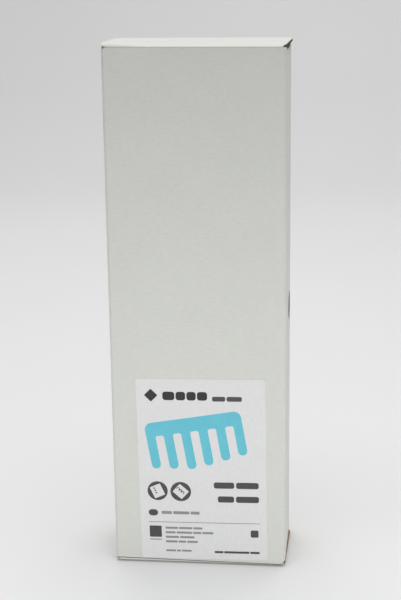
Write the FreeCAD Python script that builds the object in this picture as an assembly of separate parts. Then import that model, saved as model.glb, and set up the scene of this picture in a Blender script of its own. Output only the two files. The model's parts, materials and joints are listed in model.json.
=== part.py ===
import FreeCAD
import Part
import math
import os

# A tall tuck-end carton of thin corrugated board, packed with A4 binding combs.
# Millimetres. Origin at the middle of the base, +Z up, front towards -Y, right side towards +X.

V = FreeCAD.Vector

# ---- carton ----
WIDTH = 101.0             # outside, left to right
DEPTH = 52.0              # outside, front to back
HEIGHT = 305.0            # outside, base to top of the closed lid
BOARD = 1.6               # E-flute board
FOLD_RADIUS = 2.0         # outside of the four upright folds
LID_FOLD_RADIUS = 1.3     # outside of the folds at the ends of a lid
LAY_GAP = 0.05            # between two layers of board that lie on each other
SLIP_GAP = 0.2            # between board that slides past board

# ---- view hole in the right side ----
HOLE_RADIUS = 8.4
HOLE_Y = 5.5

# ---- glue flap, inside the left rear fold ----
GLUE_FLAP_WIDTH = 20.0
GLUE_FLAP_TAPER = 7.0
GLUE_FLAP_END_GAP = 16.0

# ---- lid, tuck flap and dust flaps: the same at both ends ----
LID_FRONT_GAP = 0.3       # lid's front fold stands this far behind the front face
LID_SIDE_GAP = 0.2        # lid's cut edges, inside the width
TUCK_LENGTH = 11.0
TUCK_LEAN_DEG = 11.0      # the tucked flap leans inwards, off the front panel
TUCK_SIDE_GAP = 2.5       # tuck flap's ends, inside the side panels
TUCK_CORNER_RADIUS = 6.0
DUST_LENGTH = 28.0        # from the side panel's outer face
DUST_FRONT_GAP = 6.3      # from the front face to the dust flap's front edge
DUST_REAR_GAP = 2.1       # from the rear face to the dust flap's root
DUST_REAR_SLOPE = 0.5     # the rear edge runs forward this much per millimetre out
DUST_SHOULDER = 3.2       # flap is straight this far from its fold
DUST_TIP_RADIUS = 4.0

# ---- label ----
LABEL_WIDTH = 75.0
LABEL_HEIGHT = 113.0
LABEL_THICK = 0.12
LABEL_X = 2.1
LABEL_Z = 60.0
LABEL_TURN_DEG = 0.7
LABEL_CORNER_RADIUS = 1.0

# ---- combs ----
COMB_LENGTH = 296.0
COMB_RADIUS = 6.1         # outside, closed
COMB_WALL = 0.55
LOOP_COUNT = 21
LOOP_PITCH = 14.2875      # 9/16 inch
FINGER_WIDTH = 6.8
SPINE_HALF_ANGLE = 45.0
CURL_RADIUS = 5.35        # outside of the stretch that tucks in under the spine
CURL_TURN_DEG = 150.0
UNDERCUT = 0.08           # between a finger's tip and the spine's inner face, at the cutter
ROW_SIZES = (7, 6, 7, 5)  # combs in each row, front row first
ROW_PITCH = 13.4          # between combs in one row
COMB_END_GAP = 0.3        # combs stand this far above the lower dust flaps
COMB_WALL_GAP = 0.3       # combs to back panel, and to the glue flap
COMB_FRONT_GAP = 5.9      # from the carton's front face to the front row

# ---- derived ----
HALF_W = WIDTH / 2
HALF_D = DEPTH / 2
INNER_W = HALF_W - BOARD
INNER_D = HALF_D - BOARD
LID_UNDER = HEIGHT - BOARD                 # underside of the top lid
PANEL_TOP = LID_UNDER - SLIP_GAP           # top edge of the front panel
SIDE_TOP = LID_UNDER - 2 * LAY_GAP - BOARD  # top edge of a side panel, below its dust flap
MIDDLE = HEIGHT / 2
TUCK_FACE_Y = -INNER_D + SLIP_GAP          # outer face of the tuck flap at its fold


def edge_loop(points):
    """A closed wire from a list of points and ('arc', middle, end) steps."""
    edges = []
    here = points[0]
    for step in points[1:]:
        if step[0] == "arc":
            edges.append(Part.Arc(here, step[1], step[2]).toShape())
            here = step[2]
        else:
            edges.append(Part.LineSegment(here, step[1]).toShape())
            here = step[1]
    return Part.Wire(edges)


def rounded_outline(corners):
    """A closed wire in the XY plane. Each corner is (x, y, radius)."""
    count = len(corners)
    starts, steps = [], []
    for i in range(count):
        x, y, radius = corners[i]
        before = corners[i - 1]
        after = corners[(i + 1) % count]
        corner = V(x, y, 0)
        to_before = V(before[0] - x, before[1] - y, 0).normalize()
        to_after = V(after[0] - x, after[1] - y, 0).normalize()
        if radius <= 0:
            starts.append(corner)
            steps.append([])
            continue
        half_angle = to_before.getAngle(to_after) / 2
        reach = radius / math.tan(half_angle)
        bisector = (to_before + to_after).normalize()
        centre = corner + bisector * (radius / math.sin(half_angle))
        starts.append(corner + to_before * reach)
        steps.append([("arc", centre - bisector * radius, corner + to_after * reach)])
    loop = [starts[0]]
    for i in range(count):
        loop.extend(steps[i])
        loop.append(("line", starts[(i + 1) % count]))
    return edge_loop(loop)


def prism(wire, direction):
    """The solid that a flat closed wire sweeps along a direction."""
    return Part.Face(wire).extrude(direction)


def flip_ends(shape):
    """The same piece for the other end of the carton: mirrored through mid-height."""
    return shape.mirror(V(0, 0, MIDDLE), V(0, 0, 1))


def mirror_side(shape):
    """The same piece for the other side of the carton: mirrored left to right."""
    return shape.mirror(V(0, 0, 0), V(1, 0, 0))


# ---------------------------------------------------------------- sleeve
def panel(half_width, half_reach, low, high):
    """An upright panel facing -Y, mitred at 45 degrees through the rounded folds at its ends.

    half_width runs to the outer corners, and half_reach is the outer face's distance from the middle.
    """
    outer_y = -half_reach
    inner_y = outer_y + BOARD
    inner_x = half_width - BOARD
    centre_x = half_width - FOLD_RADIUS
    centre_y = outer_y + FOLD_RADIUS
    mitre = FOLD_RADIUS * math.sin(math.radians(45))
    bend = math.radians(67.5)
    bend_x = centre_x + FOLD_RADIUS * math.cos(bend)
    bend_y = centre_y - FOLD_RADIUS * math.sin(bend)
    wire = edge_loop([
        V(-centre_x, outer_y, low),
        ("line", V(centre_x, outer_y, low)),
        ("arc", V(bend_x, bend_y, low), V(centre_x + mitre, centre_y - mitre, low)),
        ("line", V(inner_x, inner_y, low)),
        ("line", V(-inner_x, inner_y, low)),
        ("line", V(-centre_x - mitre, centre_y - mitre, low)),
        ("arc", V(-bend_x, bend_y, low), V(-centre_x, outer_y, low)),
    ])
    return prism(wire, V(0, 0, high - low))


def turn_about_z(shape, degrees):
    turned = shape.copy()
    turned.rotate(V(0, 0, 0), V(0, 0, 1), degrees)
    return turned


def front_panel():
    return panel(HALF_W, HALF_D, HEIGHT - PANEL_TOP, PANEL_TOP)


def back_panel():
    top = LID_UNDER - LAY_GAP
    return turn_about_z(panel(HALF_W, HALF_D, HEIGHT - top, top), 180)


def left_panel():
    return turn_about_z(panel(HALF_D, HALF_W, HEIGHT - SIDE_TOP, SIDE_TOP), -90)


def right_panel():
    blank = turn_about_z(panel(HALF_D, HALF_W, HEIGHT - SIDE_TOP, SIDE_TOP), 90)
    punch = Part.makeCylinder(HOLE_RADIUS, 4 * BOARD, V(INNER_W - BOARD, HOLE_Y, MIDDLE), V(1, 0, 0))
    return blank.cut(punch)


def glue_flap():
    """Carries on from the back panel and lies against the inside of the left panel."""
    low = GLUE_FLAP_END_GAP
    high = HEIGHT - GLUE_FLAP_END_GAP
    rear = INNER_D
    front = INNER_D - GLUE_FLAP_WIDTH
    x = -INNER_W
    wire = edge_loop([
        V(x, rear, low),
        ("line", V(x, front, low + GLUE_FLAP_TAPER)),
        ("line", V(x, front, high - GLUE_FLAP_TAPER)),
        ("line", V(x, rear, high)),
        ("line", V(x, rear, low)),
    ])
    return prism(wire, V(BOARD, 0, 0))


# ---------------------------------------------------------------- closures
def top_lid():
    """Lies on the front and back panels' edges, with a rounded fold at its front and rear ends."""
    front = -HALF_D + LID_FRONT_GAP
    rear = HALF_D
    radius = LID_FOLD_RADIUS
    slant = radius * math.sin(math.radians(45))
    x = HALF_W - LID_SIDE_GAP
    front_centre = front + radius
    rear_centre = rear - radius
    centre_z = HEIGHT - radius
    wire = edge_loop([
        V(-x, front, LID_UNDER),
        ("line", V(-x, front, centre_z)),
        ("arc", V(-x, front_centre - slant, centre_z + slant), V(-x, front_centre, HEIGHT)),
        ("line", V(-x, rear_centre, HEIGHT)),
        ("arc", V(-x, rear_centre + slant, centre_z + slant), V(-x, rear, centre_z)),
        ("line", V(-x, rear, LID_UNDER)),
        ("line", V(-x, front, LID_UNDER)),
    ])
    return prism(wire, V(2 * x, 0, 0))


def top_tuck_flap():
    """Hangs from the lid behind the front panel, leaning inwards, with two rounded free corners."""
    half = INNER_W - TUCK_SIDE_GAP
    outline = rounded_outline([
        (-half, BOARD, 0),
        (-half, -TUCK_LENGTH, TUCK_CORNER_RADIUS),
        (half, -TUCK_LENGTH, TUCK_CORNER_RADIUS),
        (half, BOARD, 0),
    ])
    flap = prism(outline, V(0, 0, BOARD))
    flap.rotate(V(0, 0, 0), V(1, 0, 0), 90)
    flap.translate(V(0, BOARD, 0))
    flap.rotate(V(0, 0, 0), V(1, 0, 0), TUCK_LEAN_DEG)
    fold_z = LID_UNDER - LAY_GAP
    flap.translate(V(0, TUCK_FACE_Y, fold_z))
    above = Part.makeBox(4 * half, DEPTH, 4 * BOARD, V(-2 * half, -HALF_D, fold_z))
    return flap.cut(above)


def top_dust_flap_left():
    """Lies under the lid. Its rear edge is cut at a slant, so that it clears the opening lid."""
    root = -HALF_W
    shoulder = root + DUST_SHOULDER
    tip = root + DUST_LENGTH
    front = -HALF_D + DUST_FRONT_GAP
    root_front = -INNER_D + SLIP_GAP + BOARD / 2
    rear = HALF_D - DUST_REAR_GAP
    tip_rear = rear - DUST_REAR_SLOPE * DUST_LENGTH
    top = LID_UNDER - LAY_GAP
    outline = rounded_outline([
        (root, rear, 0),
        (root, root_front, 0),
        (shoulder, root_front, 0),
        (shoulder + BOARD, front, 1.0),
        (tip, front, DUST_TIP_RADIUS),
        (tip, tip_rear, DUST_TIP_RADIUS),
    ])
    flap = prism(outline, V(0, 0, BOARD))
    flap.translate(V(0, 0, top - BOARD))
    fold = Part.makeBox(BOARD, DEPTH, BOARD, V(root, -HALF_D, top - BOARD))
    round_bar = Part.makeCylinder(BOARD, DEPTH, V(root + BOARD, -HALF_D, top - BOARD), V(0, 1, 0))
    return flap.cut(fold.cut(round_bar))


# ---------------------------------------------------------------- label
def front_label():
    """A paper label on the front panel, stuck on slightly crooked."""
    half_w = LABEL_WIDTH / 2
    half_h = LABEL_HEIGHT / 2
    radius = LABEL_CORNER_RADIUS
    outline = rounded_outline([
        (-half_w, -half_h, radius),
        (half_w, -half_h, radius),
        (half_w, half_h, radius),
        (-half_w, half_h, radius),
    ])
    sheet = prism(outline, V(0, 0, LABEL_THICK))
    sheet.rotate(V(0, 0, 0), V(0, 0, 1), LABEL_TURN_DEG)
    sheet.rotate(V(0, 0, 0), V(1, 0, 0), 90)
    sheet.translate(V(LABEL_X, -HALF_D, LABEL_Z))
    return sheet


# ---------------------------------------------------------------- combs
def polar(radius, degrees, centre=V(0, 0, 0)):
    angle = math.radians(degrees)
    return centre + V(radius * math.cos(angle), radius * math.sin(angle), 0)


def comb():
    """One closed comb, its spine towards +Y. The fingers curl clockwise and end under the spine."""
    spine_left = 90 + SPINE_HALF_ANGLE
    turn_start = -90 - SPINE_HALF_ANGLE
    turn_end = turn_start - CURL_TURN_DEG
    curl_middle = (turn_start + turn_end) / 2
    ring_middle = (spine_left + turn_start) / 2
    curl_centre = polar(COMB_RADIUS - CURL_RADIUS, turn_start)
    ring_inner = COMB_RADIUS - COMB_WALL
    curl_inner = CURL_RADIUS - COMB_WALL
    profile = edge_loop([
        polar(COMB_RADIUS, spine_left),
        ("arc", polar(COMB_RADIUS, ring_middle), polar(COMB_RADIUS, turn_start)),
        ("arc", polar(CURL_RADIUS, curl_middle, curl_centre), polar(CURL_RADIUS, turn_end, curl_centre)),
        ("line", polar(curl_inner, turn_end, curl_centre)),
        ("arc", polar(curl_inner, curl_middle, curl_centre), polar(ring_inner, turn_start)),
        ("arc", polar(ring_inner, ring_middle), polar(ring_inner, spine_left)),
        ("line", polar(COMB_RADIUS, spine_left)),
    ])
    tube = prism(profile, V(0, 0, COMB_LENGTH))

    spine_right = 90 - SPINE_HALF_ANGLE
    clear_radius = ring_inner - UNDERCUT
    far = 2 * COMB_RADIUS
    cutter_wire = edge_loop([
        polar(clear_radius, spine_right),
        ("line", polar(far, spine_right)),
        ("line", V(far, -far, 0)),
        ("line", V(-far, -far, 0)),
        ("line", polar(far, spine_left)),
        ("line", polar(clear_radius, spine_left)),
        ("arc", polar(clear_radius, 90), polar(clear_radius, spine_right)),
    ])
    first = (COMB_LENGTH - (LOOP_COUNT - 1) * LOOP_PITCH - FINGER_WIDTH) / 2
    gaps = []
    for i in range(LOOP_COUNT + 1):
        low = -1.0 if i == 0 else first + (i - 1) * LOOP_PITCH + FINGER_WIDTH
        high = COMB_LENGTH + 1.0 if i == LOOP_COUNT else first + i * LOOP_PITCH
        gap = prism(cutter_wire, V(0, 0, high - low))
        gap.translate(V(0, 0, low))
        gaps.append(gap)
    return tube.cut(Part.makeCompound(gaps))


def comb_places():
    """Where each comb stands and which way its spine faces: (x, y, degrees), row by row from the front."""
    first_y = -HALF_D + COMB_FRONT_GAP + COMB_RADIUS
    last_y = INNER_D - COMB_WALL_GAP - COMB_RADIUS
    row_step = (last_y - first_y) / (len(ROW_SIZES) - 1)
    first_x = -INNER_W + BOARD + COMB_WALL_GAP + COMB_RADIUS
    places = []
    for row, size in enumerate(ROW_SIZES):
        offset = ROW_PITCH / 2 if row % 2 else 0.0
        for i in range(size):
            spin = (140 * row + 95 * i) % 360
            places.append((first_x + offset + i * ROW_PITCH, first_y + row * row_step, spin))
    return places


def combs():
    pattern = comb()
    base_z = 2 * (BOARD + LAY_GAP) + COMB_END_GAP
    nodes = {}
    for number, (x, y, spin) in enumerate(comb_places(), 1):
        piece = turn_about_z(pattern, spin)
        piece.translate(V(x, y, base_z))
        nodes[f"comb_{number:02d}"] = piece
    return nodes


def main():
    nodes = {
        "front_panel": front_panel(),
        "back_panel": back_panel(),
        "left_panel": left_panel(),
        "right_panel": right_panel(),
        "glue_flap": glue_flap(),
        "front_label": front_label(),
        "top_lid": top_lid(),
        "top_tuck_flap": top_tuck_flap(),
        "top_dust_flap_left": top_dust_flap_left(),
        "top_dust_flap_right": mirror_side(top_dust_flap_left()),
    }
    for name in ("lid", "tuck_flap", "dust_flap_left", "dust_flap_right"):
        nodes[f"bottom_{name}"] = flip_ends(nodes[f"top_{name}"])
    nodes.update(combs())

    os.makedirs("parts", exist_ok=True)
    for name, shape in nodes.items():
        solids = shape.Solids
        whole = solids[0] if len(solids) == 1 else Part.makeCompound(solids)
        whole.exportStep(f"parts/{name}.step")
        print(name, len(solids), "solid", shape.isValid(), round(shape.Volume, 1))


main()
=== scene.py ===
import json
import math

import bmesh
import bpy
from mathutils import Matrix, Vector, noise
from mathutils.geometry import tessellate_polygon


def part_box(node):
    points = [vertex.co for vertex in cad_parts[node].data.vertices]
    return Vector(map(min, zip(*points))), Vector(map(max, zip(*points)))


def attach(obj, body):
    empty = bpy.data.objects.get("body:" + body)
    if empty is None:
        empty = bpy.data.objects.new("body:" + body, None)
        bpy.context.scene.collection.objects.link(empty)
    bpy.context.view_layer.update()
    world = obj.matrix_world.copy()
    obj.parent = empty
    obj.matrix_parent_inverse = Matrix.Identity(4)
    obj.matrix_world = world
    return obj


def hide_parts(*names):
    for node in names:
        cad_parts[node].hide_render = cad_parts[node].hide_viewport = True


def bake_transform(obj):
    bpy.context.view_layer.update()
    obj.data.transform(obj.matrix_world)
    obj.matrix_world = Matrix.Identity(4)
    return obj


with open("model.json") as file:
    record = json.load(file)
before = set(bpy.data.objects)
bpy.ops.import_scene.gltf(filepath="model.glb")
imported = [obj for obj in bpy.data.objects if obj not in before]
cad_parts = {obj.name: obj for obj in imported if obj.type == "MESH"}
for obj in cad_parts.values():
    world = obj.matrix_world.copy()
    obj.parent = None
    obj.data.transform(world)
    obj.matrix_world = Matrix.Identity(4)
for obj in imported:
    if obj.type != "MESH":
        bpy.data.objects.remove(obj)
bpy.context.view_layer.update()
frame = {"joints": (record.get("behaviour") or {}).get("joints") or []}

# Shapes are worked out in millimetres and turned into metres as each mesh is made.
MM = 0.001


def corner(node, high, axis):
    """One coordinate of a CAD node's box, in millimetres."""
    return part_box(node)[1 if high else 0][axis] / MM


# ---------------------------------------------------------------- sizes, from the frame
HALF_W = corner("right_panel", True, 0)
HALF_D = corner("back_panel", True, 1)
HEIGHT = corner("top_lid", True, 2)
MIDDLE = HEIGHT / 2
BOARD = HEIGHT - corner("top_lid", False, 2)
LID_UNDER = HEIGHT - BOARD
INNER_W = HALF_W - BOARD
INNER_D = HALF_D - BOARD
DUST_TOP = corner("top_dust_flap_left", True, 2)
DUST_LENGTH = HALF_W - corner("top_dust_flap_right", False, 0)
DUST_FRONT = corner("top_dust_flap_left", False, 1)
DUST_REAR = corner("top_dust_flap_left", True, 1)
TUCK_HALF = corner("top_tuck_flap", True, 0)
TUCK_HINGE = next(j["pos_m"] for j in frame["joints"] if j["name"] == "top_tuck_hinge")
TUCK_AXIS_Y = TUCK_HINGE[1] / MM
TUCK_AXIS_Z = TUCK_HINGE[2] / MM
COMB_LENGTH = corner("comb_01", True, 2) - corner("comb_01", False, 2)
COMB_BASE = corner("comb_01", False, 2)

# ---------------------------------------------------------------- sizes of the detail
LINER = 0.24              # thickness of a liner
BOTTOM_CURL = 0.95        # the bottom lid's fold curls up off the ground by this
MEDIUM = 0.16             # thickness of the fluted layer
FLUTE_PITCH = 3.2
FOLD_RADIUS = 2.0         # upright folds
SCORE_DEPTH = 0.35        # line pressed in along the middle of each upright fold
SCORE_WIDTH = 0.3
CREASE_RADIUS = 1.4       # folds at the lids and dust flaps
CREASE_REACH = 2.8        # how far a crease's piece runs along each of its two boards
WASHBOARD = 0.012         # flutes telegraph through the outer liner by this much
FRONT_BULGE = 0.5
SIDE_BULGE = 0.35
FRONT_LOW = BOARD + 0.28
TOP_LIP = 0.45            # the top lid's fold is crushed to this where it covers the front panel's edge
FRONT_HIGH = HEIGHT - TOP_LIP - 0.07
REAR_LOW = CREASE_REACH
CORNER_EDGE = 1.9         # the side panels' edges beside a dust flap's crease, in from the carton's end
NOTCH = 3.4               # the cut at the foot of the front right fold reaches up this far
SIDE_LOW = HEIGHT - DUST_TOP + CREASE_REACH
TUCK_LENGTH = 11.0
TUCK_LEAN = math.radians(11)
TUCK_CREASE = 3.0
LID_FRONT_CREASE_Y = TUCK_AXIS_Y + 2.0
LIFT = 1.8                # the top lid's left front corner stands proud by this
LIFT_START = 18.0         # and begins to lift this far left of the middle
LID_BOW = 0.35            # the top lid bows up by this beside its front fold
BLEND_REACH = 1.2         # start and stop of a crease's bend are set this far each side of its corner
DUST_FRONT_CUT = 6.3      # from the front face to a dust flap's front edge
DUST_SHOULDER = 3.2       # a dust flap is straight this far from its fold
DUST_REAR_SLOPE = 0.5
DUST_TIP_ROUND = 4.0
GLUE_TAPER = 7.0
TUCK_CORNER = 6.0
HOLE_RADIUS = 8.4
HOLE_Y = 5.5
LABEL_W = 75.0
LABEL_H = 113.0
LABEL_X = 2.1
LABEL_Z = 60.0
LABEL_TURN = math.radians(0.7)
LABEL_CORNER = 1.0
LABEL_CURL = 0.16         # the label's corners lift by this
LABEL_CURL_REACH = 7.0
PAPER = 0.11
PRINT_LAYER = 0.012       # one layer of print above the next
PRINT_THICK = 0.008

COMB_RADIUS = 6.1
COMB_WALL = 0.55
CURL_RADIUS = 5.35
LOOP_COUNT = 21
LOOP_PITCH = 14.2875
FINGER_HALF = 3.45        # half of a finger's width at its root
FINGER_TAPER = 0.95       # what that loses by the tip
ROOT_FLARE = (3.2, 1.1, 0.25)
TIP_SHARES = (0.93, 0.78, 0.45)
COMB_SOFT = 0.12          # bevel along a comb's edges
COMB_END_GAP = 0.08
ROW_SIZES = (7, 6, 7, 5)
ROW_PITCH = 13.4
COMB_FRONT_GAP = 5.9      # from the carton's front face to the front row
COMB_WALL_GAP = 0.3


# ---------------------------------------------------------------- materials
def new_material(name, roughness, specular=0.5):
    material = bpy.data.materials.new(name)
    material.use_nodes = True
    nodes = material.node_tree.nodes
    shader = nodes["Principled BSDF"]
    shader.inputs["Roughness"].default_value = roughness
    shader.inputs["Specular IOR Level"].default_value = specular
    return material, nodes, material.node_tree.links, shader


def noise_node(nodes, links, coords, scale, detail=4.0, roughness=0.5, stretch=None):
    """A noise texture on object coordinates, in metres, stretched if asked."""
    if stretch:
        mapping = nodes.new("ShaderNodeMapping")
        mapping.inputs["Scale"].default_value = stretch
        links.new(coords.outputs["Object"], mapping.inputs["Vector"])
        source = mapping.outputs["Vector"]
    else:
        source = coords.outputs["Object"]
    texture = nodes.new("ShaderNodeTexNoise")
    texture.inputs["Scale"].default_value = scale
    texture.inputs["Detail"].default_value = detail
    texture.inputs["Roughness"].default_value = roughness
    links.new(source, texture.inputs["Vector"])
    return texture.outputs["Fac"]


def ramp_node(nodes, links, fac, stops):
    ramp = nodes.new("ShaderNodeValToRGB")
    elements = ramp.color_ramp.elements
    while len(elements) < len(stops):
        elements.new(0.5)
    for element, (place, colour) in zip(elements, stops):
        element.position = place
        element.color = (*colour, 1)
    links.new(fac, ramp.inputs["Fac"])
    return ramp.outputs["Color"]


def mix_node(nodes, links, fac, a, b, blend="MIX"):
    mix = nodes.new("ShaderNodeMix")
    mix.data_type = "RGBA"
    mix.blend_type = blend
    if isinstance(fac, float):
        mix.inputs["Factor"].default_value = fac
    else:
        links.new(fac, mix.inputs["Factor"])
    for socket, value in ((mix.inputs["A"], a), (mix.inputs["B"], b)):
        if isinstance(value, tuple):
            socket.default_value = (*value, 1)
        else:
            links.new(value, socket)
    return mix.outputs["Result"]


def bump_node(nodes, links, heights, shader):
    """Adds bumps one on another. heights holds (socket, distance in metres, strength)."""
    normal = None
    for height, distance, strength in heights:
        bump = nodes.new("ShaderNodeBump")
        bump.inputs["Distance"].default_value = distance
        bump.inputs["Strength"].default_value = strength
        links.new(height, bump.inputs["Height"])
        if normal:
            links.new(normal, bump.inputs["Normal"])
        normal = bump.outputs["Normal"]
    links.new(normal, shader.inputs["Normal"])


def shade(colour, factor):
    return tuple(min(1.0, c * factor) for c in colour)


def paper_material(name, colour, roughness, cloud, speck, fibre_stretch):
    """A paper surface: soft clouds, fibres that lie along the sheet, and a few fine specks."""
    material, nodes, links, shader = new_material(name, roughness, 0.35)
    coords = nodes.new("ShaderNodeTexCoord")
    clouds = noise_node(nodes, links, coords, 55.0, 5.0, 0.55)
    fibres = noise_node(nodes, links, coords, 900.0, 3.0, 0.6, fibre_stretch)
    grain = noise_node(nodes, links, coords, 2600.0, 2.0, 0.5)
    tones = [(0.3, shade(colour, 1 - cloud)), (0.7, shade(colour, 1 + cloud))]
    base = ramp_node(nodes, links, clouds, tones)
    fibre_tone = ramp_node(nodes, links, fibres, [(0.35, (0.955,) * 3), (0.65, (1.0,) * 3)])
    base = mix_node(nodes, links, 1.0, base, fibre_tone, "MULTIPLY")
    if speck:
        dots = noise_node(nodes, links, coords, 1500.0, 1.0, 0.4)
        tone = ramp_node(nodes, links, dots, [(0.245, (0.62, 0.6, 0.55)), (0.275, (1.0,) * 3)])
        base = mix_node(nodes, links, speck, base, mix_node(nodes, links, 1.0, base, tone, "MULTIPLY"))
    links.new(base, shader.inputs["Base Color"])
    bump_node(nodes, links, [(fibres, 0.00002, 0.5), (grain, 0.000012, 0.35), (clouds, 0.0002, 0.25)], shader)
    return material


def kraft_material():
    """Brown kraft liner: long fibres in two tones."""
    material, nodes, links, shader = new_material("kraft_liner", 0.88, 0.2)
    coords = nodes.new("ShaderNodeTexCoord")
    fibres = noise_node(nodes, links, coords, 500.0, 6.0, 0.7, (0.25, 0.25, 1.0))
    clouds = noise_node(nodes, links, coords, 60.0, 4.0, 0.5)
    tone = ramp_node(nodes, links, fibres, [(0.3, (0.235, 0.142, 0.077)), (0.7, (0.44, 0.292, 0.171))])
    shadow = ramp_node(nodes, links, clouds, [(0.3, (0.85,) * 3), (0.7, (1.0,) * 3)])
    links.new(mix_node(nodes, links, 1.0, tone, shadow, "MULTIPLY"), shader.inputs["Base Color"])
    bump_node(nodes, links, [(fibres, 0.00004, 0.6)], shader)
    return material


def cut_edge_material():
    """Raw cut board: darker, ragged kraft."""
    material, nodes, links, shader = new_material("cut_edge", 0.95, 0.1)
    coords = nodes.new("ShaderNodeTexCoord")
    ragged = noise_node(nodes, links, coords, 1400.0, 5.0, 0.7)
    tone = ramp_node(nodes, links, ragged, [(0.3, (0.095, 0.080, 0.066)), (0.72, (0.31, 0.262, 0.215))])
    links.new(tone, shader.inputs["Base Color"])
    bump_node(nodes, links, [(ragged, 0.00008, 0.8)], shader)
    return material


def ink_material(name, colour, roughness, patchy):
    """Print on paper: solid ink that lets a little paper grain through."""
    material, nodes, links, shader = new_material(name, roughness, 0.45)
    coords = nodes.new("ShaderNodeTexCoord")
    grain = noise_node(nodes, links, coords, 1800.0, 3.0, 0.6)
    clouds = noise_node(nodes, links, coords, 120.0, 3.0, 0.5)
    tones = [(0.3, shade(colour, 1 - patchy)), (0.7, shade(colour, 1 + patchy))]
    tone = ramp_node(nodes, links, grain, tones)
    soft = ramp_node(nodes, links, clouds, [(0.3, (0.94,) * 3), (0.7, (1.0,) * 3)])
    links.new(mix_node(nodes, links, 1.0, tone, soft, "MULTIPLY"), shader.inputs["Base Color"])
    bump_node(nodes, links, [(grain, 0.00001, 0.3)], shader)
    return material


def comb_material():
    """Black PVC with a slight drawn grain and fine scuffs."""
    material, nodes, links, shader = new_material("comb_pvc", 0.32, 0.5)
    coords = nodes.new("ShaderNodeTexCoord")
    drawn = noise_node(nodes, links, coords, 700.0, 3.0, 0.5, (1.0, 1.0, 0.08))
    scuffs = noise_node(nodes, links, coords, 160.0, 6.0, 0.65)
    tone = ramp_node(nodes, links, drawn, [(0.3, (0.012, 0.012, 0.013)), (0.75, (0.022, 0.022, 0.025))])
    links.new(tone, shader.inputs["Base Color"])
    rough = ramp_node(nodes, links, scuffs, [(0.35, (0.24,) * 3), (0.7, (0.42,) * 3)])
    links.new(rough, shader.inputs["Roughness"])
    bump_node(nodes, links, [(drawn, 0.00002, 0.35)], shader)
    return material


SMOOTH_ANGLE = 35.0       # faces that meet at more than this keep a sharp edge
LINER_COLOUR = (0.655, 0.665, 0.625)
MATERIALS = {
    "white": paper_material("white_liner", LINER_COLOUR, 0.62, 0.012, 0.35, (0.3, 0.3, 1.0)),
    "kraft": kraft_material(),
    "edge": cut_edge_material(),
    "paper": paper_material("label_paper", (0.73, 0.73, 0.735), 0.5, 0.008, 0.0, (1.0, 1.0, 0.4)),
    "ink_black": ink_material("ink_black", (0.012, 0.012, 0.013), 0.5, 0.12),
    "ink_grey": ink_material("ink_grey", (0.06, 0.06, 0.064), 0.55, 0.15),
    "ink_light": ink_material("ink_light", (0.27, 0.27, 0.275), 0.6, 0.1),
    "ink_cyan": ink_material("ink_cyan", (0.12, 0.53, 0.65), 0.48, 0.05),
    "comb": comb_material(),
}
BOARD_MATERIALS = ("white", "kraft", "edge")
WHITE, KRAFT, EDGE = 0, 1, 2


# ---------------------------------------------------------------- mesh building
class Shape:
    """Points in millimetres, with faces that each have a material number."""

    def __init__(self):
        self.points = []
        self.faces = []
        self.mats = []

    def add(self, points, faces, mats):
        base = len(self.points)
        self.points.extend(points)
        self.faces.extend([base + i for i in face] for face in faces)
        self.mats.extend(mats)

    def slab(self, surface, rows, across, outer, inner, mats=(WHITE, KRAFT, EDGE)):
        """A closed sheet over surface(u, v, w). rows are the values of v, across(v) gives those of u,
        and outer(v) and inner(v) are its two depths w. mats are for the outer, inner and cut faces."""
        tops, bottoms = [], []
        for v in rows:
            us = across(v)
            tops.append([surface(u, v, outer(v)) for u in us])
            bottoms.append([surface(u, v, inner(v)) for u in us])
        n, m = len(rows), len(tops[0])
        points = [p for row in tops for p in row] + [p for row in bottoms for p in row]
        under = n * m
        faces, kinds = [], []
        for i in range(n - 1):
            for j in range(m - 1):
                a = i * m + j
                faces.append((a, a + 1, a + m + 1, a + m))
                kinds.append(mats[0])
                faces.append((under + a, under + a + m, under + a + m + 1, under + a + 1))
                kinds.append(mats[1])
            for a in (i * m, i * m + m - 1):
                faces.append((a, a + m, under + a + m, under + a))
                kinds.append(mats[2])
        for j in range(m - 1):
            for a in (j, (n - 1) * m + j):
                faces.append((a, a + 1, under + a + 1, under + a))
                kinds.append(mats[2])
        self.add(points, faces, kinds)

    def bar(self, sections, kinds, cap):
        """A closed bar through a list of sections with the same number of points.
        kinds has a material number for each side of the section, and cap is the one at its ends."""
        m = len(sections[0])
        points = [p for section in sections for p in section]
        faces, mats = [], []
        for i in range(len(sections) - 1):
            for j in range(m):
                a, b = i * m + j, i * m + (j + 1) % m
                faces.append((a, b, b + m, a + m))
                mats.append(kinds[j])
        last = (len(sections) - 1) * m
        faces += [tuple(range(m)), tuple(range(last, last + m))]
        mats += [cap, cap]
        self.add(points, faces, mats)


def make_object(name, shape, materials, smooth_angle=SMOOTH_ANGLE):
    """A mesh object in metres, with outward normals and sharp edges kept."""
    mesh = bpy.data.meshes.new(name)
    mesh.from_pydata([tuple(c * MM for c in p) for p in shape.points], [], shape.faces)
    for key in materials:
        mesh.materials.append(MATERIALS[key])
    mesh.polygons.foreach_set("material_index", shape.mats)
    bm = bmesh.new()
    bm.from_mesh(mesh)
    bmesh.ops.recalc_face_normals(bm, faces=bm.faces)
    for face in bm.faces:
        face.smooth = True
    bm.to_mesh(mesh)
    bm.free()
    mesh.set_sharp_from_angle(angle=math.radians(smooth_angle))
    obj = bpy.data.objects.new(name, mesh)
    bpy.context.scene.collection.objects.link(obj)
    return obj


def place(obj, body, slot, *nodes):
    """obj rides on a body and stands for the CAD nodes named. slot is not used."""
    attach(obj, body)
    if nodes:
        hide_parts(*nodes)
    return obj


def spread(low, high, count):
    return [low + (high - low) * i / count for i in range(count + 1)]


def flipped(shape):
    """The same shape for the other end of the carton."""
    shape.points = [(x, y, HEIGHT - z) for x, y, z in shape.points]
    return shape


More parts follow.
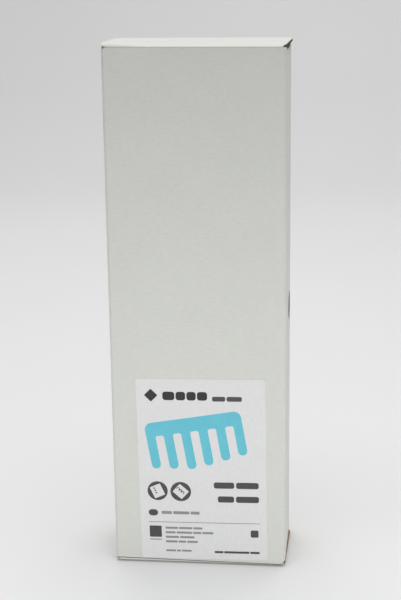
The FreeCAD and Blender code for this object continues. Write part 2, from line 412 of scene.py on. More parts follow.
# ---------------------------------------------------------------- corrugated board
def washboard(v):
    """How far the outer liner sinks between flutes; every second flute shows a little more."""
    turn = 2 * math.pi * v / FLUTE_PITCH
    return WASHBOARD * (1 - 0.6 * math.cos(turn) - 0.4 * math.cos(turn / 2))


def flute(v):
    """Depth of the fluted layer's middle."""
    room = BOARD - 2 * LINER - MEDIUM
    return BOARD / 2 + room / 2 * math.cos(2 * math.pi * v / FLUTE_PITCH)


def flute_rows(low, high, per_flute):
    return spread(low, high, max(1, round((high - low) / FLUTE_PITCH * per_flute)))


def add_liners(shape, surface, rows, across, inner_rows=None):
    shape.slab(surface, rows, across, washboard, lambda v: LINER, (WHITE, KRAFT, EDGE))
    shape.slab(surface, inner_rows or rows, across, lambda v: BOARD - LINER, lambda v: BOARD,
               (KRAFT, KRAFT, EDGE))


def add_flutes(shape, surface, rows, across):
    shape.slab(surface, rows, across, lambda v: flute(v) - MEDIUM / 2, lambda v: flute(v) + MEDIUM / 2,
               (EDGE, EDGE, EDGE))


# ---------------------------------------------------------------- sleeve
def panel_surface(half_width, reach, turn, bulge):
    """(u across, v up, w inwards) on an upright panel, round to the middle of its two folds."""
    flat = half_width - FOLD_RADIUS
    cos_t, sin_t = math.cos(turn), math.sin(turn)

    def at(u, v, w):
        over = abs(u) - flat
        past_score = over - FOLD_RADIUS * math.pi / 4
        score = SCORE_DEPTH * math.exp(-(past_score / SCORE_WIDTH) ** 2) * max(0.0, 1 - w / BOARD)
        if over <= 0:
            swell = bulge * (1 - (u / flat) ** 2) * (1 - ((v - MIDDLE) / MIDDLE) ** 4)
            x, y = u, -reach + w - swell
        else:
            angle = over / FOLD_RADIUS
            x = math.copysign(flat + (FOLD_RADIUS - w - score) * math.sin(angle), u)
            y = -reach + FOLD_RADIUS - (FOLD_RADIUS - w - score) * math.cos(angle)
        return (x * cos_t - y * sin_t, x * sin_t + y * cos_t, v)

    return at


def panel_columns(half_width, flat_count, marks=()):
    """Values of u from fold to fold, with extra ones at the marks."""
    flat = half_width - FOLD_RADIUS
    arc = FOLD_RADIUS * math.pi / 4
    left = spread(-flat - arc, -flat, 7)
    right = spread(flat, flat + arc, 7)
    return sorted(set(left + spread(-flat, flat, flat_count)[1:-1] + list(marks) + right))


def panel_shape(surface, columns, low, high, low_edge, high_edge, hollow_from=None):
    """Liners over the whole panel, and the fluted layer where a cut edge shows it."""
    stretch = 10.0

    def trimmed(u, v, w):
        if v < low + stretch:
            v = low_edge(u) + (v - low) * (low + stretch - low_edge(u)) / stretch
        elif v > high - stretch:
            v = high_edge(u) - (high - v) * (high_edge(u) - high + stretch) / stretch
        return surface(u, v, w)

    shape = Shape()
    across = lambda v: columns
    add_liners(shape, trimmed, flute_rows(low, high, 6), across, flute_rows(low, high, 0.4))
    for start, end in ((low, low + 2 * FLUTE_PITCH), (high - 2 * FLUTE_PITCH, high)):
        add_flutes(shape, trimmed, flute_rows(start, end, 8), across)
    if hollow_from:
        add_flutes(shape, trimmed, flute_rows(*hollow_from, 8), across)
    return shape


def front_lower_edge(x):
    """The front panel's lower edge is cut on a slant, higher at the left."""
    past_fold = max(0.0, (x - HALF_W + FOLD_RADIUS) / FOLD_RADIUS)
    return 1.75 + 1.15 * (0.5 - x / (2 * HALF_W)) + 2.0 * min(0.8, past_fold)


FRONT_AT = panel_surface(HALF_W, HALF_D, 0.0, FRONT_BULGE)


def make_front_panel():
    columns = panel_columns(HALF_W, 12)
    shape = panel_shape(FRONT_AT, columns, FRONT_LOW, FRONT_HIGH,
                        front_lower_edge, lambda u: FRONT_HIGH - 0.5 * max(0.0, -u - HALF_W + 2.0))
    return make_object("front_panel_board", shape, BOARD_MATERIALS)


def make_back_panel():
    columns = panel_columns(HALF_W, 12)
    surface = panel_surface(HALF_W, HALF_D, math.pi, FRONT_BULGE)
    shape = panel_shape(surface, columns, REAR_LOW, HEIGHT - REAR_LOW,
                        lambda u: REAR_LOW, lambda u: HEIGHT - REAR_LOW)
    return make_object("back_panel_board", shape, BOARD_MATERIALS)


def make_side_panel(name, turn):
    """The edge stands higher beside the dust flap's crease than under it."""
    marks = []
    for end in (DUST_FRONT, DUST_REAR):
        marks += [end - 0.04, end + 0.04]
    facing = 1 if turn > 0 else -1
    marks = [facing * m for m in marks]
    columns = panel_columns(HALF_D, 8, marks)
    surface = panel_surface(HALF_D, HALF_W, turn, SIDE_BULGE)
    low, high = SIDE_LOW, HEIGHT - SIDE_LOW

    def edge(u, front_edge):
        y = facing * u
        if DUST_FRONT <= y <= DUST_REAR:
            return low
        past, fold_edge = (DUST_FRONT - y, front_edge) if y < 0 else (y - DUST_REAR, REAR_LOW)
        corner_edge = NOTCH if y < 0 and fold_edge == NOTCH else CORNER_EDGE
        return corner_edge + (fold_edge - corner_edge) * min(1.0, past / FOLD_RADIUS)

    hole = (MIDDLE - HOLE_RADIUS - 3, MIDDLE + HOLE_RADIUS + 3) if turn > 0 else None
    shape = panel_shape(surface, columns, low, high, lambda u: edge(u, NOTCH if turn > 0 else FRONT_LOW),
                        lambda u: HEIGHT - edge(u, HEIGHT - FRONT_HIGH), hole)
    obj = make_object(name, shape, BOARD_MATERIALS)
    if hole:
        punch_hole(obj)
    return obj


def punch_hole(obj):
    """Cuts the round view hole through each layer, with raw board round its rim."""
    bm = bmesh.new()
    turn = Matrix.Rotation(math.pi / 2, 4, "Y")
    centre = Matrix.Translation(Vector((HALF_W, HOLE_Y, MIDDLE)) * MM)
    bmesh.ops.create_cone(bm, cap_ends=True, segments=72, radius1=HOLE_RADIUS * MM, radius2=HOLE_RADIUS * MM,
                          depth=8 * MM, matrix=centre @ turn)
    mesh = bpy.data.meshes.new("punch")
    bm.to_mesh(mesh)
    bm.free()
    punch = bpy.data.objects.new("punch", mesh)
    bpy.context.scene.collection.objects.link(punch)
    cut = obj.modifiers.new("hole", "BOOLEAN")
    cut.operation = "DIFFERENCE"
    cut.solver = "EXACT"
    cut.use_self = True
    cut.object = punch
    graph = bpy.context.evaluated_depsgraph_get()
    result = bpy.data.meshes.new_from_object(obj.evaluated_get(graph))
    obj.modifiers.clear()
    obj.data = result
    bpy.data.objects.remove(punch)
    for face in result.polygons:
        away = math.hypot(face.center.y / MM - HOLE_Y, face.center.z / MM - MIDDLE)
        if abs(away - HOLE_RADIUS) < 0.05 and abs(face.normal.x) < 0.3:
            face.material_index = EDGE
    result.set_sharp_from_angle(angle=math.radians(SMOOTH_ANGLE))


def make_glue_flap():
    """Lies against the inside of the left panel, with slanted ends."""
    low, high = corner("glue_flap", False, 2), corner("glue_flap", True, 2)
    front, rear = corner("glue_flap", False, 1), corner("glue_flap", True, 1)

    def surface(u, v, w):
        share = (rear - u) / (rear - front)
        z = low + share * GLUE_TAPER + (v - low) * (high - low - 2 * share * GLUE_TAPER) / (high - low)
        return (-INNER_W + w, u, z)

    shape = Shape()
    across = lambda v: spread(front, rear - 0.02, 4)
    add_liners(shape, surface, flute_rows(low, high, 1), across)
    add_flutes(shape, surface, flute_rows(low, high, 8), across)
    return make_object("glue_flap_board", shape, BOARD_MATERIALS)


# ---------------------------------------------------------------- closures
def crease_shape(to_world, length_low, length_high, wobble, sag=0.0, painted_corner_shade=False):
    """The bent strip between two boards that meet at a right angle. Its section is in (p, q): the outer
    corner is (0, 0), one board runs down q and the other in along p. to_world(p, q, along) gives a point.
    Its corner is crushed in by sag, most at the middle of its length. When asked, its rounded corner takes
    the dark cut-edge material as painted shade, for the dark gap under the lid."""
    reach, r, t = CREASE_REACH, CREASE_RADIUS, BOARD
    outer = [(0, -q) for q in spread(reach, r, 3)]
    outer += [(-r + r * math.cos(a), -r + r * math.sin(a)) for a in spread(0, math.pi / 2, 8)[1:]]
    outer += [(-p, 0) for p in spread(r, reach, 3)[1:]]
    inner = [(-p, -t) for p in spread(reach, t + 0.3, 3)] + [(-t - 0.08, -t - 0.08)]
    inner += [(-t, -q) for q in spread(t + 0.3, reach, 3)]
    # Painted shade: when asked, the six faces round the corner take the dark cut-edge material.
    kinds = [WHITE] * 5 + [EDGE if painted_corner_shade else WHITE] * 6 + [WHITE] * 3
    kinds += [EDGE] + [KRAFT] * (len(inner) - 1) + [EDGE]
    sections = []
    for along in spread(length_low, length_high, max(8, round((length_high - length_low) / 2))):
        dent = wobble * noise.noise(Vector((along * 0.21, length_low, wobble * 50)))
        share = (along - length_low) / (length_high - length_low)
        crush = sag * max(0.0, math.sin(math.pi * share)) ** 0.8
        section = []
        for p, q in outer + inner:
            from_corner = math.hypot(p + r * 0.3, q + r * 0.3)
            near = max(0.0, 1 - from_corner / 1.6)
            wide = max(0.0, 1 - from_corner / reach)
            p_in = p - dent * near - 0.25 * crush * wide
            q_in = q - dent * near - crush * wide
            section.append(to_world(p_in, q_in, along))
        sections.append(section)
    shape = Shape()
    shape.bar(sections, kinds, EDGE)
    return shape


def make_rear_crease(end, flip):
    def to_world(p, q, along):
        return (along, HALF_D + p, HEIGHT + q)

    half = HALF_W - FOLD_RADIUS - 0.3
    shape = crease_shape(to_world, -half, half, 0.16)
    start, stop = (HALF_D, HEIGHT - BLEND_REACH), (HALF_D - BLEND_REACH, HEIGHT)
    if flip:
        shape = flipped(shape)
        start, stop = (start[0], HEIGHT - start[1]), (stop[0], HEIGHT - stop[1])
    obj = make_object(f"{end}_rear_crease", shape, BOARD_MATERIALS)
    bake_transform(obj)
    return obj


def make_dust_crease(end, side, flip):
    def to_world(p, q, along):
        return (side * (HALF_W + p), along, DUST_TOP + q)

    # The top crease sags more and takes the painted shade on its corner; the bottom one does not.
    shape = crease_shape(to_world, DUST_FRONT, DUST_REAR, 0.14, *((0.5, False) if flip else (1.3, True)))
    start, stop = (HALF_W, DUST_TOP - BLEND_REACH), (HALF_W - BLEND_REACH, DUST_TOP)
    if flip:
        shape = flipped(shape)
        start, stop = (start[0], HEIGHT - start[1]), (stop[0], HEIGHT - stop[1])
    name = "right" if side > 0 else "left"
    obj = make_object(f"{end}_dust_crease_{name}", shape, BOARD_MATERIALS)
    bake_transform(obj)
    return obj


def tuck_point(along, depth):
    """(y, z) on the leaning tuck flap: along from its fold, and depth in from its outer face."""
    y = TUCK_AXIS_Y + along * math.sin(TUCK_LEAN) + depth * math.cos(TUCK_LEAN)
    z = TUCK_AXIS_Z - along * math.cos(TUCK_LEAN) + depth * math.sin(TUCK_LEAN)
    return y, z


def left_share(x):
    """0 over most of the top lid, rising to 1 at its left end."""
    return max(0.0, (-x - LIFT_START) / (HALF_W - LIFT_START))


def top_lift(x, y):
    """The top lid stands proud at its left end, most at the front, and bows up beside its front fold."""
    share = (HALF_D - CREASE_REACH - y) / (2 * HALF_D - CREASE_REACH)
    from_end = left_share(x)
    near_front = min(1.0, max(0.0, (y + HALF_D) / 10.0))
    ease = from_end ** 2 * (3 - 2 * min(1.0, from_end))
    raised = LIFT * ease * max(0.0, share) * (0.55 + 0.45 * near_front)
    bow = LID_BOW * math.exp(-((y + HALF_D - 5.0) / 6.0) ** 2)
    return raised + bow


def make_front_crease(end, flip):
    """The rounded fold along the lid's front that turns in to the tuck flap. Depths are from the lid's
    outer face. The top one just covers the front panel's edge, and the bottom one lies a little behind
    the panel's face and curls up off the ground. Its ends are cut back at a slant, which leaves a small
    dark gap at the corners."""
    face_y = -HALF_D + 0.3 if flip else -HALF_D - 0.04
    left, right = (-HALF_W + 0.5, HALF_W - 0.6) if flip else (-HALF_W + 0.4, HALF_W - 1.7)
    taper_left, taper_right = (2.2, 1.0) if flip else (2.4, 0.8)
    places = sorted(set(spread(left, right, 60) + spread(left, left + taper_left, 5)
                        + spread(right - taper_right, right, 4)
                        + [side * (TUCK_HALF + step) for side in (-1, 1) for step in (0.0, 0.3)]))
    sections = []
    for x in places:
        lip = front_lower_edge(x) - 0.6 if flip else TOP_LIP
        roll = 0.5 if flip else 2.2 + 4.0 * left_share(x)
        lip += 0.03 * noise.noise(Vector((x * 0.11, 3.1 if flip else 7.7, 0.0)))
        kept = min(1.0, (x - left) / taper_left, (right - x) / taper_right)
        lift = (lambda y: 0.0) if flip else (lambda y: top_lift(x, y))
        start = BOTTOM_CURL if flip else -lift(face_y + roll)
        lip = lip - (lip - start) * 0.75 * (1 - kept)
        drop = min(lip - start - 0.05, 0.5) if flip else lip - start - 0.05
        outer = []
        roll = min(roll, LID_FRONT_CREASE_Y - face_y - 0.4)
        for y in spread(LID_FRONT_CREASE_Y, face_y + roll, 5)[:-1]:
            share = (LID_FRONT_CREASE_Y - y) / (LID_FRONT_CREASE_Y - face_y - roll)
            outer.append((y, BOTTOM_CURL * share ** 2 if flip else -lift(y)))
        outer += [(face_y + roll - roll * math.sin(a), start + drop - drop * math.cos(a))
                  for a in spread(0, math.pi / 2, 9)]
        outer += [(face_y, lip - 0.03), (face_y + 0.12, lip)]
        outer += [(-INNER_D - 0.1, lip + 0.02), (TUCK_AXIS_Y + 0.02, max(lip, 0.9) + 0.3)]
        if abs(x) <= TUCK_HALF:
            turned = [tuck_point(TUCK_CREASE, 0), tuck_point(TUCK_CREASE, BOARD), tuck_point(0.6, BOARD)]
            turned = [(y, HEIGHT - z) for y, z in turned]
        else:
            turned = [(TUCK_AXIS_Y + 0.1, BOARD + 0.35), (TUCK_AXIS_Y + 0.6, BOARD + 0.35),
                      (TUCK_AXIS_Y + 1.1, BOARD + 0.15)]
        under = BOARD - lift(LID_FRONT_CREASE_Y)
        inner = [(LID_FRONT_CREASE_Y - 0.25, under), (LID_FRONT_CREASE_Y, under)]
        sections.append([(x, y, HEIGHT - depth) for y, depth in outer + turned + inner])
    kinds = [WHITE] * len(outer) + [EDGE, KRAFT, KRAFT, KRAFT, EDGE]
    shape = Shape()
    shape.bar(sections, kinds, EDGE)
    start, stop = LID_UNDER, tuck_point(TUCK_CREASE, BOARD)[1]
    if flip:
        shape = flipped(shape)
        start, stop = HEIGHT - start, HEIGHT - stop
    obj = make_object(f"{end}_front_crease", shape, BOARD_MATERIALS)
    y = TUCK_AXIS_Y * MM
    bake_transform(obj)
    return obj


def make_lid(end, flip):
    """Its cut ends at the left and right show the flutes. It sits askew, over to the right at the rear."""
    front, rear = LID_FRONT_CREASE_Y, HALF_D - CREASE_REACH
    half = HALF_W - 0.2

    def across(v):
        narrow = 1.6 * max(0.0, 1 - (rear - v) / 2.0)
        share = (v - front) / (rear - front)
        askew = 1.0 * share if flip else 2.4 * share - 1.1
        front_narrow = 0.4 * max(0.0, 1 - (v - front) / 1.5)
        return spread(-half + narrow + front_narrow, half - narrow - front_narrow + askew, 24)

    shape = Shape()
    surface = lambda u, v, w: (u, v, HEIGHT - w + (0.0 if flip else top_lift(u, v)))
    add_liners(shape, surface, flute_rows(front, rear, 8), across)
    add_flutes(shape, surface, flute_rows(front, rear, 12), across)
    if flip:
        shape = flipped(shape)
    obj = make_object(f"{end}_lid_board", shape, BOARD_MATERIALS)
    return place(obj, f"{end}_lid", "board", f"{end}_lid")


def make_tuck_flap(end, flip):
    """Leans in behind the front panel, with two rounded free corners."""
    def across(v):
        half = TUCK_HALF
        over = v - (TUCK_LENGTH - TUCK_CORNER)
        if over > 0:
            half -= TUCK_CORNER - math.sqrt(max(0.0, TUCK_CORNER ** 2 - min(over, TUCK_CORNER) ** 2))
        return spread(-half, half, 8)

    def surface(u, v, w):
        y, z = tuck_point(v, w)
        return (u, y, z)

    rows = spread(TUCK_CREASE, TUCK_LENGTH - 0.4, 24) + [TUCK_LENGTH - 0.15, TUCK_LENGTH]
    shape = Shape()
    add_liners(shape, surface, rows, across)
    add_flutes(shape, surface, rows, across)
    if flip:
        shape = flipped(shape)
    obj = make_object(f"{end}_tuck_flap_board", shape, BOARD_MATERIALS)
    return place(obj, f"{end}_tuck_flap", "board", f"{end}_tuck_flap")


def make_dust_flap(end, side, flip):
    """A tapered flap. Its flutes run front to back, so its slanted and straight long edges show them."""
    front_cut = -HALF_D + DUST_FRONT_CUT

    def across(v):
        low = DUST_FRONT
        if v > DUST_SHOULDER:
            low += (front_cut - DUST_FRONT) * min(1.0, (v - DUST_SHOULDER) / 1.6)
        high = DUST_REAR - DUST_REAR_SLOPE * v
        over = v - (DUST_LENGTH - DUST_TIP_ROUND)
        if over > 0:
            trim = DUST_TIP_ROUND - math.sqrt(max(0.0, DUST_TIP_ROUND ** 2 - over ** 2))
            low += trim
            high -= trim
        return spread(low, high, 8)

    def surface(u, v, w):
        return (side * (HALF_W - v), u, DUST_TOP - w)

    rows = spread(CREASE_REACH, DUST_LENGTH - 1.0, 90)
    rows += [DUST_LENGTH - 0.6, DUST_LENGTH - 0.3, DUST_LENGTH - 0.05]
    shape = Shape()
    add_liners(shape, surface, rows, across)
    add_flutes(shape, surface, rows, across)
    if flip:
        shape = flipped(shape)
    name = "right" if side > 0 else "left"
    node = f"{end}_dust_flap_{name}"
    return place(make_object(f"{node}_board", shape, BOARD_MATERIALS), node, "board", node)


# ---------------------------------------------------------------- label
def label_point(a, b, lift):
    """A point on the front panel: a from the label's left edge, b down from its top, lift off the board."""
    x = a - LABEL_W / 2
    z = LABEL_H / 2 - b
    u = LABEL_X + x * math.cos(LABEL_TURN) - z * math.sin(LABEL_TURN)
    v = LABEL_Z + x * math.sin(LABEL_TURN) + z * math.cos(LABEL_TURN)
    return FRONT_AT(u, v, -lift)


def make_label():
    """A sheet of paper that follows the panel, with slightly lifted corners."""
    def across(b):
        short_of = LABEL_CORNER - min(b, LABEL_H - b, LABEL_CORNER)
        inset = LABEL_CORNER - math.sqrt(max(0.0, LABEL_CORNER ** 2 - short_of ** 2))
        return spread(inset, LABEL_W - inset, 24)

    def surface(u, v, w):
        to_corner = math.hypot(min(u, LABEL_W - u), min(v, LABEL_H - v))
        curl = LABEL_CURL * max(0.0, 1 - to_corner / LABEL_CURL_REACH) ** 2
        return label_point(u, v, PAPER - w + curl)

    rows = [0.0, 0.15, 0.5] + spread(1.0, LABEL_H - 1.0, 60) + [LABEL_H - 0.5, LABEL_H - 0.15, LABEL_H]
    shape = Shape()
    shape.slab(surface, rows, across, lambda v: 0.0, lambda v: PAPER - 0.01, (0, 0, 0))
    obj = make_object("front_label_paper", shape, ("paper",))
    return place(obj, "sleeve", "label_paper", "front_label")


def box_outline(a, b, width, height, radius=None, turn=0.0):
    """A rounded rectangle from its upper left corner, turned about its middle."""
    radius = min(width, height) / 2 if radius is None else radius
    points = []
    for x, y, first in ((width - radius, radius, -90), (width - radius, height - radius, 0),
                        (radius, height - radius, 90), (radius, radius, 180)):
        for step in range(7):
            angle = math.radians(first + 15 * step)
            points.append((x + radius * math.cos(angle), y + radius * math.sin(angle)))
    cos_t, sin_t = math.cos(turn), math.sin(turn)
    middle = (width / 2, height / 2)
    turned = []
    for x, y in points:
        dx, dy = x - middle[0], y - middle[1]
        turned.append((a + middle[0] + dx * cos_t - dy * sin_t, b + middle[1] + dx * sin_t + dy * cos_t))
    return turned


def disc_outline(a, b, radius, count=40):
    """A disc about (a, b)."""
    return [(a + radius * math.cos(2 * math.pi * i / count), b + radius * math.sin(2 * math.pi * i / count))
            for i in range(count)]


def arc_outline(a, b, radius, width, first, last):
    """A thick arc, angles in degrees clockwise from the right."""
    angles = [math.radians(d) for d in spread(first, last, 36)]
    far, near = radius + width / 2, radius - width / 2
    outer = [(a + far * math.cos(t), b + far * math.sin(t)) for t in angles]
    inner = [(a + near * math.cos(t), b + near * math.sin(t)) for t in reversed(angles)]
    return outer + inner


def make_print(name, outlines, ink, layer):
    """Thin flat print on the label. A later layer lies on an earlier one."""
    lift = PAPER + PRINT_LAYER * layer
    bm = bmesh.new()
    for outline in outlines:
        corners = [bm.verts.new((a, b, 0)) for a, b in outline]
        for triangle in tessellate_polygon([[Vector((a, b, 0)) for a, b in outline]]):
            bm.faces.new([corners[i] for i in triangle])
    for _ in range(4):
        long_edges = [e for e in bm.edges if e.calc_length() > 4.0]
        if not long_edges:
            break
        bmesh.ops.subdivide_edges(bm, edges=long_edges, cuts=1)
        bmesh.ops.triangulate(bm, faces=[f for f in bm.faces if len(f.verts) > 3])
    top = bmesh.ops.extrude_face_region(bm, geom=list(bm.faces))
    for element in top["geom"]:
        if isinstance(element, bmesh.types.BMVert):
            element.co.z = 1.0
    shape = Shape()
    bm.verts.index_update()
    points = [label_point(v.co.x, v.co.y, lift + PRINT_THICK * v.co.z) for v in bm.verts]
    shape.add(points, [[v.index for v in f.verts] for f in bm.faces], [0] * len(bm.faces))
    bm.free()
    return place(make_object(name, shape, (ink,)), "sleeve", "label_paper")


def word_bars(left, middle, widths, height, gap=1.1):
    """A line of plain bars, in place of words."""
    bars = []
    a = left
    for width in widths:
        bars.append(box_outline(a, middle - height / 2, width, height, height * 0.32))
        a += width + gap
    return bars


def comb_motif():
    """A plain drawing of a comb: a rounded spine with rounded teeth, tilted a little."""
    tilt = math.radians(-9)
    spine_length, spine_height = 57.0, 8.6
    tooth_width, tooth_length, count = 5.4, 23.5, 6
    fillet = 1.3
    round_end = spine_height / 2
    step = (spine_length - tooth_width) / (count - 1)
    outline = [(round_end - round_end * math.sin(t), round_end - round_end * math.cos(t))
               for t in spread(math.pi / 2, 0, 8)]
    outline += [(spine_length - round_end + round_end * math.sin(t), round_end - round_end * math.cos(t))
                for t in spread(0, math.pi / 2, 8)]
    for i in reversed(range(count)):
        right = i * step + tooth_width
        left = i * step
        bottom = spine_height + tooth_length * (1.0 - 0.07 * abs(i - 2.2))
        if i < count - 1:
            outline += [(right + fillet - fillet * math.sin(t), spine_height + fillet - fillet * math.cos(t))
                        for t in spread(0, math.pi / 2, 5)]
        radius = tooth_width / 2
        outline += [(left + radius + radius * math.cos(t), bottom - radius + radius * math.sin(t))
                    for t in spread(0, math.pi, 12)]
        if i > 0:
            outline += [(left - fillet + fillet * math.sin(t), spine_height + fillet - fillet * math.cos(t))
                        for t in spread(math.pi / 2, 0, 5)]
    placed = []
    for x, y in outline:
        dx, dy = x - spine_length / 2, y - 13.0
        placed.append((34.0 + dx * math.cos(tilt) - dy * math.sin(tilt),
                       36.2 + dx * math.sin(tilt) + dy * math.cos(tilt)))
    return placed


def make_label_print():
    """Plain shapes and bars only, in place of the words and marks on a real label."""
    bold = [box_outline(5.8, 7.3, 5.6, 5.6, 0.6, math.radians(45))]
    bold += word_bars(15.4, 10.4, (7.0, 5.6, 5.4, 5.9), 5.2, 0.7)
    make_print("print_heading_bold", bold, "ink_black", 1)
    dark = word_bars(44.2, 12.0, (7.6, 8.8), 2.9, 0.8)
    dark += word_bars(44.0, 65.6, (12.0, 13.2), 3.9)
    dark += word_bars(46.2, 74.4, (9.6, 13.5), 3.9)
    make_print("print_heading", dark, "ink_grey", 1)
    make_print("print_motif", [comb_motif()], "ink_cyan", 1)

    discs = [disc_outline(10.7, 69.7, 6.0), disc_outline(24.4, 69.9, 6.1)]
    discs.append(box_outline(4.9, 81.6, 5.6, 4.0, 2.0))
    discs.append(box_outline(5.1, 92.1, 7.2, 7.3, 0.4))
    make_print("print_icons", discs, "ink_grey", 1)
    page = [box_outline(7.3, 66.0, 6.6, 7.6, 0.5, math.radians(-24))]
    page.append(box_outline(20.8, 66.6, 7.2, 6.6, 0.5, math.radians(42)))
    make_print("print_icon_pages", page, "paper", 2)
    holes = [disc_outline(8.7 + 0.6 * i, 68.1 + 1.4 * i, 0.5, 16) for i in range(3)]
    holes += [arc_outline(22.9 + 1.15 * i, 68.5 + 1.05 * i, 1.05, 0.45, -150, 60) for i in range(3)]
    make_print("print_icon_marks", holes, "ink_grey", 3)

    light = [box_outline(4.7, 89.4, 65.7, 0.42, 0.1)]
    light += word_bars(12.6, 83.5, (6.2, 9.6, 5.4), 1.9, 0.7)
    for line, widths in enumerate(((7.5, 8.0, 5.4), (6.0, 9.2, 5.0, 6.6), (8.0, 8.6), (7.0, 4.6, 6.4))):
        light += word_bars(14.6, 93.3 + 2.95 * line, widths, 1.35, 0.55)
    light += word_bars(14.5, 108.0, (6.0, 2.4, 5.8), 1.25, 0.55)
    light += word_bars(5.1, 100.9, (7.2,), 0.7, 0.5)
    make_print("print_small", light, "ink_light", 1)
    sharp = word_bars(43.6, 108.4, (5.2, 15.0, 5.6), 1.4, 0.45)
    sharp.append(box_outline(65.2, 93.9, 4.6, 4.6, 0.9))
    make_print("print_small_dark", sharp, "ink_grey", 1)


# ---------------------------------------------------------------- combs
def curl_path(count):
    """(x, y, outward normal's x, its y) along the middle of a finger, from the spine to its tip."""
    samples = []
    r = COMB_RADIUS - COMB_WALL / 2
    for degrees in spread(45.0, -135.0, count):
        angle = math.radians(degrees)
        nx, ny = math.cos(angle), math.sin(angle)
        samples.append((r * nx, r * ny, nx, ny))
    offset = COMB_RADIUS - CURL_RADIUS
    centre_x, centre_y = offset * math.cos(math.radians(-135)), offset * math.sin(math.radians(-135))
    r = CURL_RADIUS - COMB_WALL / 2
    for degrees in spread(-135.0, -285.0, count - 4)[1:]:
        angle = math.radians(degrees)
        nx, ny = math.cos(angle), math.sin(angle)
        samples.append((centre_x + r * nx, centre_y + r * ny, nx, ny))
    return samples


def comb_mesh():
    """One comb, its spine towards +Y: a curved spine, and tapered fingers with rounded roots and tips."""
    shape = Shape()
    path = curl_path(20)
    last = len(path) - 1
    half_wall = COMB_WALL / 2
    soft, end_gap = COMB_SOFT, COMB_END_GAP
    first = (COMB_LENGTH - (LOOP_COUNT - 1) * LOOP_PITCH) / 2
    for finger in range(LOOP_COUNT):
        z = first + finger * LOOP_PITCH
        sections = []
        for i, (x, y, nx, ny) in enumerate(path):
            share = i / last
            half = FINGER_HALF - FINGER_TAPER * share
            if i < 3:
                half += ROOT_FLARE[i]
            if i > last - 3:
                half *= TIP_SHARES[i - last + 2]
            low, high = max(z - half, end_gap), min(z + half, COMB_LENGTH - end_gap)
            rim = ((low, half_wall - soft), (low + soft, half_wall), (high - soft, half_wall),
                   (high, half_wall - soft), (high, soft - half_wall), (high - soft, -half_wall),
                   (low + soft, -half_wall), (low, soft - half_wall))
            sections.append([(x + nx * depth, y + ny * depth, along) for along, depth in rim])
        shape.bar(sections, [0] * 8, 0)
    sections = []
    for z, inset in ((end_gap, soft), (end_gap + soft, 0.0), (COMB_LENGTH - end_gap - soft, 0.0),
                     (COMB_LENGTH - end_gap, soft)):
        outer, inner = [], []
        for degrees in spread(45.0, 135.0, 12):
            angle = math.radians(degrees)
            r_out, r_in = COMB_RADIUS - inset, COMB_RADIUS - COMB_WALL + inset
            outer.append((r_out * math.cos(angle), r_out * math.sin(angle), z))
            inner.append((r_in * math.cos(angle), r_in * math.sin(angle), z))
        sections.append(outer + list(reversed(inner)))
    shape.bar(sections, [0] * len(sections[0]), 0)
    return shape


def make_combs():
    """All combs share one mesh. Each stands in its own place and is turned its own way."""
    pattern = make_object("comb_pattern", comb_mesh(), ("comb",), 50.0)
    mesh = pattern.data
    bpy.data.objects.remove(pattern)
    number = 0
    for row, size in enumerate(ROW_SIZES):
        for i in range(size):
            number += 1
            node = f"comb_{number:02d}"
            spot = Vector((*comb_centre(row, i), COMB_BASE)) * MM
            spin = math.radians((140 * row + 95 * i) % 360)
            comb = bpy.data.objects.new(f"{node}_plastic", mesh)
            bpy.context.scene.collection.objects.link(comb)
            comb.matrix_world = Matrix.Translation(spot) @ Matrix.Rotation(spin, 4, "Z")
            place(comb, "combs", "comb_plastic", node)


def comb_centre(row, i):
    """(x, y) of one comb. Row 0 is at the front, and every second row stands half a pitch over."""
    first_y = -HALF_D + COMB_FRONT_GAP + COMB_RADIUS
    last_y = INNER_D - COMB_WALL_GAP - COMB_RADIUS
    first_x = -INNER_W + BOARD + COMB_WALL_GAP + COMB_RADIUS
    offset = ROW_PITCH / 2 if row % 2 else 0.0
    return first_x + offset + i * ROW_PITCH, first_y + (last_y - first_y) * row / (len(ROW_SIZES) - 1)


# ---------------------------------------------------------------- the carton
place(make_front_panel(), "sleeve", "board", "front_panel")
place(make_back_panel(), "sleeve", "board", "back_panel")
place(make_side_panel("right_panel_board", math.pi / 2), "sleeve", "board", "right_panel")
place(make_side_panel("left_panel_board", -math.pi / 2), "sleeve", "board", "left_panel")
place(make_glue_flap(), "sleeve", "board", "glue_flap")
for closure, flip_it in (("top", False), ("bottom", True)):
    make_lid(closure, flip_it)
    make_tuck_flap(closure, flip_it)
    make_rear_crease(closure, flip_it)
    make_front_crease(closure, flip_it)
    for hand in (-1, 1):
        make_dust_flap(closure, hand, flip_it)
        make_dust_crease(closure, hand, flip_it)
make_label()
make_label_print()
make_combs()


# ---------------------------------------------------------------- stage, light and camera
def make_stage():
    """A pale seamless sweep."""
    material, nodes, links, shader = new_material("sweep_paper", 0.9, 0.1)
    coords = nodes.new("ShaderNodeTexCoord")
    clouds = noise_node(nodes, links, coords, 3.0, 2.0, 0.5)
    tone = ramp_node(nodes, links, clouds, [(0.3, (0.80, 0.80, 0.80)), (0.7, (0.82, 0.82, 0.82))])
    links.new(tone, shader.inputs["Base Color"])
    MATERIALS["sweep"] = material
    half, front, bend_start, bend, top = 5000, -5000, 1100, 700, 3600
    profile = [(y, 0.0) for y in spread(front, bend_start, 8)]
    profile += [(bend_start + bend * math.sin(t), bend - bend * math.cos(t))
                for t in spread(0, math.pi / 2, 20)[1:]]
    profile += [(bend_start + bend, z) for z in spread(bend, top, 5)[1:]]
    points = [(x, y, z) for y, z in profile for x in (-half, half)]
    faces = [(2 * i, 2 * i + 1, 2 * i + 3, 2 * i + 2) for i in range(len(profile) - 1)]
    shape = Shape()
    shape.add(points, faces, [0] * len(faces))
    make_object("sweep", shape, ("sweep",))


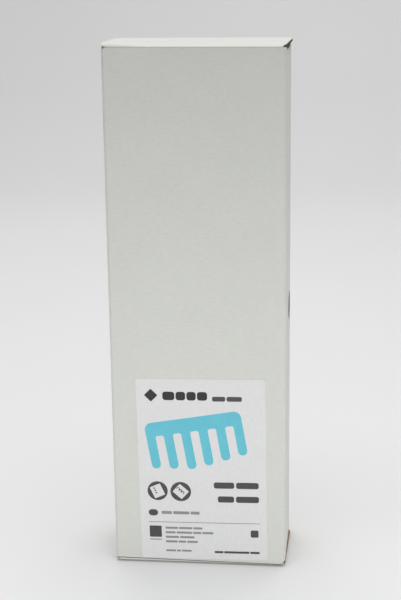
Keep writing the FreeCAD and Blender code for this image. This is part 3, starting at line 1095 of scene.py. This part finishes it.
def add_area(name, place_at, aim_at, size, power):
    """A rectangular soft light. Its own panel stays out of the picture."""
    light = bpy.data.lights.new(name, "AREA")
    light.shape = "RECTANGLE"
    light.size, light.size_y = size
    light.energy = power
    obj = bpy.data.objects.new(name, light)
    bpy.context.scene.collection.objects.link(obj)
    obj.visible_camera = False
    obj.location = place_at
    obj.rotation_mode = "QUATERNION"
    obj.rotation_quaternion = (Vector(aim_at) - Vector(place_at)).to_track_quat("-Z", "Y")


def make_lights():
    """A dim even room, one large light overhead, and two low ones that open up the front and right side."""
    world = bpy.data.worlds.new("soft_room")
    world.use_nodes = True
    background = world.node_tree.nodes["Background"]
    background.inputs["Color"].default_value = (1.0, 1.0, 1.0, 1)
    background.inputs["Strength"].default_value = 0.16
    bpy.context.scene.world = world
    add_area("overhead", (0.0, 0.2, 1.6), (0, 0.2, 0), (1.6, 2.0), 28.0)
    add_area("front_low", (-0.05, -0.42, 0.09), (0, -0.04, -0.02), (0.7, 0.12), 0.84)
    add_area("right_low", (0.45, -0.12, 0.03), (0, 0, 0.03), (0.4, 0.1), 0.62)


def make_camera():
    """Stands in front, a little to the right and above, and looks slightly down at the middle."""
    azimuth, elevation = math.radians(6.31), math.radians(16.1)
    distance = 0.8216
    away = Vector((math.sin(azimuth) * math.cos(elevation), -math.cos(azimuth) * math.cos(elevation),
                   math.sin(elevation)))
    data = bpy.data.cameras.new("camera")
    data.lens = 84.4
    data.sensor_width = 36.0
    camera = bpy.data.objects.new("camera", data)
    bpy.context.scene.collection.objects.link(camera)
    camera.location = Vector((0, 0, MIDDLE * MM)) + away * distance
    aim = Vector((-0.0006, 0, 0.1561))
    roll = Matrix.Rotation(math.radians(-0.76), 4, "Z")
    facing = (aim - camera.location).to_track_quat("-Z", "Y").to_matrix().to_4x4()
    camera.rotation_mode = "QUATERNION"
    camera.rotation_quaternion = (facing @ roll).to_quaternion()
    bpy.context.scene.camera = camera


make_stage()
make_lights()
make_camera()
bpy.context.scene.view_settings.view_transform = "Standard"
